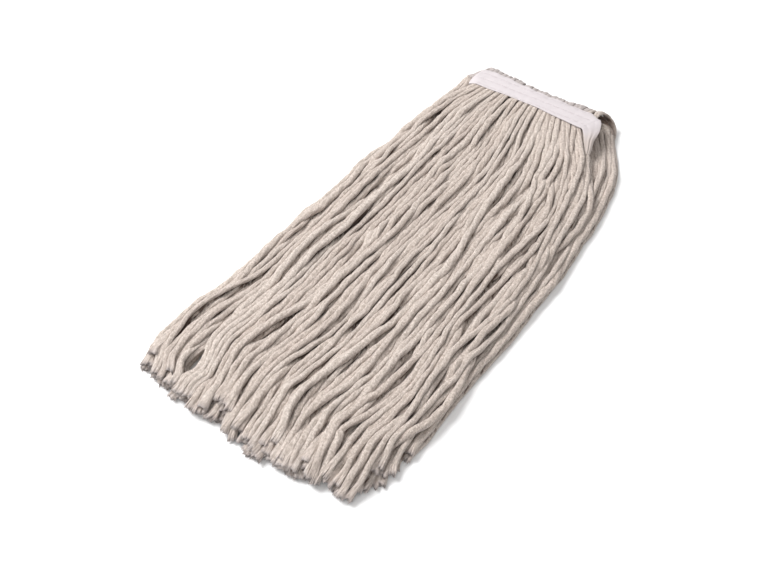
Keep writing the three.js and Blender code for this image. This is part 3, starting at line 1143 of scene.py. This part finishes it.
def cloth_slab(name, middle, thickness, material, sewn_row=None, from_end=0.0, darkening=0.0):
    """A closed strip of cloth from a grid of points halfway through it. Its sewn row of points
    meets the next strip with a square edge, so that no seam shows."""
    along = np.gradient(middle, axis=0)
    across = np.gradient(middle, axis=1)
    normal = np.cross(along, across)
    normal /= np.linalg.norm(normal, axis=2)[..., None]
    half = thickness / 2
    rows, columns = middle.shape[:2]
    index = np.arange(rows * columns).reshape(rows, columns)
    border = np.concatenate([index[:-1, 0], index[-1, :-1], index[:0:-1, -1], index[0, :0:-1]])
    flat = middle.reshape(-1, 3)
    ring = flat[border]
    outward = np.zeros_like(middle)
    outward[0] -= along[0]
    outward[-1] += along[-1]
    outward[:, 0] -= across[:, 0]
    outward[:, -1] += across[:, -1]
    if sewn_row is not None:
        outward[sewn_row] *= 0.001
    outward = outward.reshape(-1, 3)[border]
    length = np.linalg.norm(outward, axis=1)[:, None]
    outward /= np.maximum(length, 0.2)
    edge = ring + outward * half * 0.9
    top = (middle + normal * half).reshape(-1, 3)
    bottom = (middle - normal * half).reshape(-1, 3)
    count = len(flat)
    quads = np.stack([index[:-1, :-1], index[1:, :-1], index[1:, 1:], index[:-1, 1:]],
                     axis=-1).reshape(-1, 4)
    edge_index = 2 * count + np.arange(len(border))
    following = np.roll(edge_index, -1)
    next_border = np.roll(border, -1)
    upper = np.stack([next_border, border, edge_index, following], axis=1)
    lower = np.stack([following, edge_index, border + count, next_border + count], axis=1)
    faces = np.vstack([quads, quads[:, ::-1] + count, upper, lower])
    u = from_end + lengths_along(middle[:, columns // 2])
    v = np.linspace(0, BAND_WIDTH, columns)
    place = np.stack([np.repeat(u, columns), np.tile(v, rows), np.zeros(count)], axis=1)
    fibre = np.vstack([place, place + [0, 0, 1], place[border] + [0, 0, 0.5]])
    parts = MeshParts()
    points = np.vstack([top, bottom, edge])
    darkening = np.broadcast_to(darkening, (rows, columns)).ravel()
    parts.add(points, faces, fibre, grey=np.concatenate([darkening, darkening, darkening[border]]))
    strip = build(name, parts, material)
    if sewn_row is not None:
        sewn = np.zeros(len(flat), bool)
        sewn[index[sewn_row]] = True
        at_seam = np.concatenate([np.zeros(2 * len(quads), bool),
                                  np.tile(sewn[border] & sewn[next_border], 2)])
        strip.data.polygons.foreach_set("use_smooth", ~at_seam)
    return strip


def face_left(v):
    rounded = np.maximum(0, (v - 0.74) / 0.26) ** 2.4
    return -BAND_HALF - 4.5 + 5.0 * v + 4.5 * rounded + 2.0 * np.maximum(0, 1 - v / 0.2) ** 2


def face_right(v):
    return BAND_HALF - 4.0 + 10.0 * v


def face_front(x):
    """The front edge isn't quite straight: it is drawn in left of the middle and out at the right."""
    drawn_in = 1.6 * np.exp(-(((x + 18) / 28) ** 2))
    return 0.8 + drawn_in - 3.6 * smoothstep(x, 5, 65) + 0.15 * np.sin(x / 5.5)


def face_rear(x):
    scallop = 0.4 * np.sin(x / 3.3 + np.sin(x / 9)) + 0.3 * np.sin(x / 11.5 + 1)
    corner = 4.5 * smoothstep(x, 60, 74)
    return BAND_WIDTH + 1.3 - 4.8 * smoothstep(x, -45, 10) - corner + scallop


FACE_MIDDLE = TAPE_TOP - CLOTH_THICKNESS / 2
BACK_MIDDLE = back_low[2] + CLOTH_THICKNESS / 2 + 0.1


def face_height(x, y):
    """Height of the middle of the face tape's cloth; its long edges bend down onto the yarns."""
    sag = 0.16 * np.sin(x / 16 + 0.6) + 0.11 * np.sin(x / 6.3 + y / 9)
    to_rear = np.maximum(face_rear(x) - y, 0)
    to_front = np.maximum(y - face_front(x), 0)
    rim = 0.8 * np.exp(-to_rear / 1.8) + 0.45 * np.exp(-to_front / 1.2)
    ripple = 0.3 * np.sin(x / 3.1 + 0.8 * np.sin(x / 7)) * np.exp(-to_rear / 3.5)
    droop = 4.0 * smoothstep(-x, 63, 76) * smoothstep(16 - y, 0, 16)
    return FACE_MIDDLE - 0.2 - pucker(x, y) + sag - rim + ripple - droop


def face_point(u, v):
    x = face_left(v) + (face_right(v) - face_left(v)) * u
    y = face_front(x) + (face_rear(x) - face_front(x)) * v
    return x, y, face_height(x, y)


def make_face_tape():
    middle = on_band(*face_point(band_u, band_v))
    tape = cloth_slab("face_tape_cloth", middle, CLOTH_THICKNESS, tape_cloth, sewn_row=-1)
    fasten(tape, "headband", "face_tape")


def back_height(x, y):
    """Height of the middle of the back tape's cloth."""
    return BACK_MIDDLE + 0.6 * pucker(x, y)


def make_back_tape():
    behind = back_low[1] - BAND_FRONT
    x = -BAND_HALF + 2 * BAND_HALF * band_u + 0 * band_v
    front = behind + 0.2 * np.sin(x / 6)
    rear = behind + BAND_WIDTH - 0.4
    y = front + (rear - front) * band_v
    middle = on_band(x, y, back_height(x, y))
    tape = cloth_slab("back_tape_cloth", middle, CLOTH_THICKNESS, tape_cloth)
    fasten(tape, "headband", "back_tape")


# how much darker the right flap gets towards its tail
FLAP_TAIL_DARKENING = 0.9
FLAP_ROUTE = np.array([(71.5, 8.0, 27.2), (74.0, 3.8, 26.2), (76.8, -2.6, 24.6),
                       (79.2, -12.5, 22.4), (82.9, -21.0, 20.0), (85.0, -27.0, 17.0)])
FLAP_HALF_WIDTHS = np.array([11.9, 10.2, 8.0, 4.6, 3.4, 2.6])
FLAP_SWINGS = np.radians([65, 52, 46, 41, 40, 38])
LEFT_FLAP_DROP = 11.0


def make_right_flap():
    """The tape's right end, turned down over the end of the band and pinched into a tail."""
    t = np.linspace(0, 1, 46)[:, None]
    v = band_v
    root_x, root_y, root_z = face_point(1.0, v)
    knots = lengths_along(FLAP_ROUTE)
    knots = knots / knots[-1]
    centre_x, centre_y, centre_z = (np.interp(t, knots, FLAP_ROUTE[:, k]) for k in range(3))
    half = np.interp(t, knots, FLAP_HALF_WIDTHS)
    swing = np.interp(t, knots, FLAP_SWINGS)
    fan_x = centre_x + half * (2 * v - 1) * np.cos(swing)
    fan_y = centre_y + half * (2 * v - 1) * np.sin(swing)
    joined = smoothstep(t, 0, 0.25)
    x = root_x + t * 12 + (fan_x - root_x - t * 12) * joined
    y = root_y - t * 5 + (fan_y - root_y + t * 5) * joined
    z = root_z + (centre_z - root_z) * joined
    z = z + 1.3 * (np.sin(math.pi * v) - 0.6) * smoothstep(t, 0.02, 0.5)
    gathered = smoothstep(t, 0.05, 0.7) * np.sin(math.pi * v)
    z = z + 0.6 * gathered * np.sin(2 * math.pi * 2.5 * v + 2.5 * t)
    flap = cloth_slab("end_flap_right_cloth", on_band(x, y, z), CLOTH_THICKNESS, tape_cloth,
                      sewn_row=0, from_end=2 * BAND_HALF + 6, darkening=FLAP_TAIL_DARKENING * smoothstep(t, 0.05, 0.7))
    fasten_at_front_edge(flap, "end_flap_right")


def make_left_flap():
    """The tape's left end, folded down over the end of the band and tucked in."""
    t = np.linspace(0, 1, 24)[:, None]
    v = np.linspace(0, 1, 37)[None, :]
    root_x, root_y, root_z = face_point(0.0, v)
    fold = math.pi / 2 * smoothstep(t, 0, 0.35)
    down = LEFT_FLAP_DROP * np.maximum(0, t - 0.1)
    x = root_x - 1.3 * np.sin(fold) + 2.2 * t ** 2 + 0.3 * np.sin(v * 14 + t * 3) * t
    y = root_y - (root_y - BAND_WIDTH / 2) * 0.1 * t
    z = root_z - 1.3 * (1 - np.cos(fold)) - down
    flap = cloth_slab("end_flap_left_cloth", on_band(x, y, z)[::-1], CLOTH_THICKNESS * 0.8, tape_cloth)
    fasten(flap, "headband", "end_flap_left")


THREAD_RADIUS = 0.3
THREAD_SIDES = 8
THREAD_STEP = 0.3
THREAD_TWIST = 2.6
HOLE_DEPTH = 1.3
HOLE_RADIUS = 0.6
thread_angle = around(THREAD_SIDES)
THREAD_SHAPE = np.where(np.arange(THREAD_SIDES) % 4 == 0, 0.78, 1.05)


def make_thread(name, node, line_y, height, upward):
    """One row of lock stitches: the thread lies on the cloth and dips in at each needle hole."""
    x = np.arange(-STITCHED_HALF, STITCHED_HALF + THREAD_STEP / 2, THREAD_STEP)
    dip = HOLE_DEPTH * np.exp(-((hole_distance(x) / HOLE_RADIUS) ** 2))
    z = height(x) + upward * (THREAD_RADIUS * 0.55 - dip)
    y = line_y + 0.12 * np.sin(x / 2.3) + 0.08 * np.sin(x / 0.9)
    points = on_band(x, y, z)
    count = len(points)
    v = np.tile([0.0, 1.0, 0.0], (count, 1))
    w = np.tile([0.0, 0.0, 1.0], (count, 1))
    radius = np.full(count, THREAD_RADIUS)
    angles = (x * 2 * math.pi / THREAD_TWIST)[:, None] + thread_angle
    rings = sweep(points, v, w, radius, radius, angles, THREAD_SHAPE)
    place = np.stack([np.repeat(x, THREAD_SIDES), np.tile(thread_angle, count) * THREAD_RADIUS,
                      np.zeros(count * THREAD_SIDES)], axis=1)
    place = np.vstack([place, place[0], place[-1]])
    parts = MeshParts()
    parts.add(rings, tube_faces(count, THREAD_SIDES), place)
    thread = build(name, parts, thread_cotton)
    fasten(thread, "headband", node)


make_face_tape()
make_back_tape()
make_right_flap()
make_left_flap()
for number, line_y in enumerate(STITCH_ROWS):
    label = f"{number + 1:02d}"
    make_thread(f"needle_stitches_{label}", f"needle_thread_{label}", line_y,
                lambda x: face_height(x, line_y) + CLOTH_THICKNESS / 2, 1)
    make_thread(f"bobbin_stitches_{label}", f"bobbin_thread_{label}", line_y,
                lambda x: back_height(x, line_y) - CLOTH_THICKNESS / 2, -1)
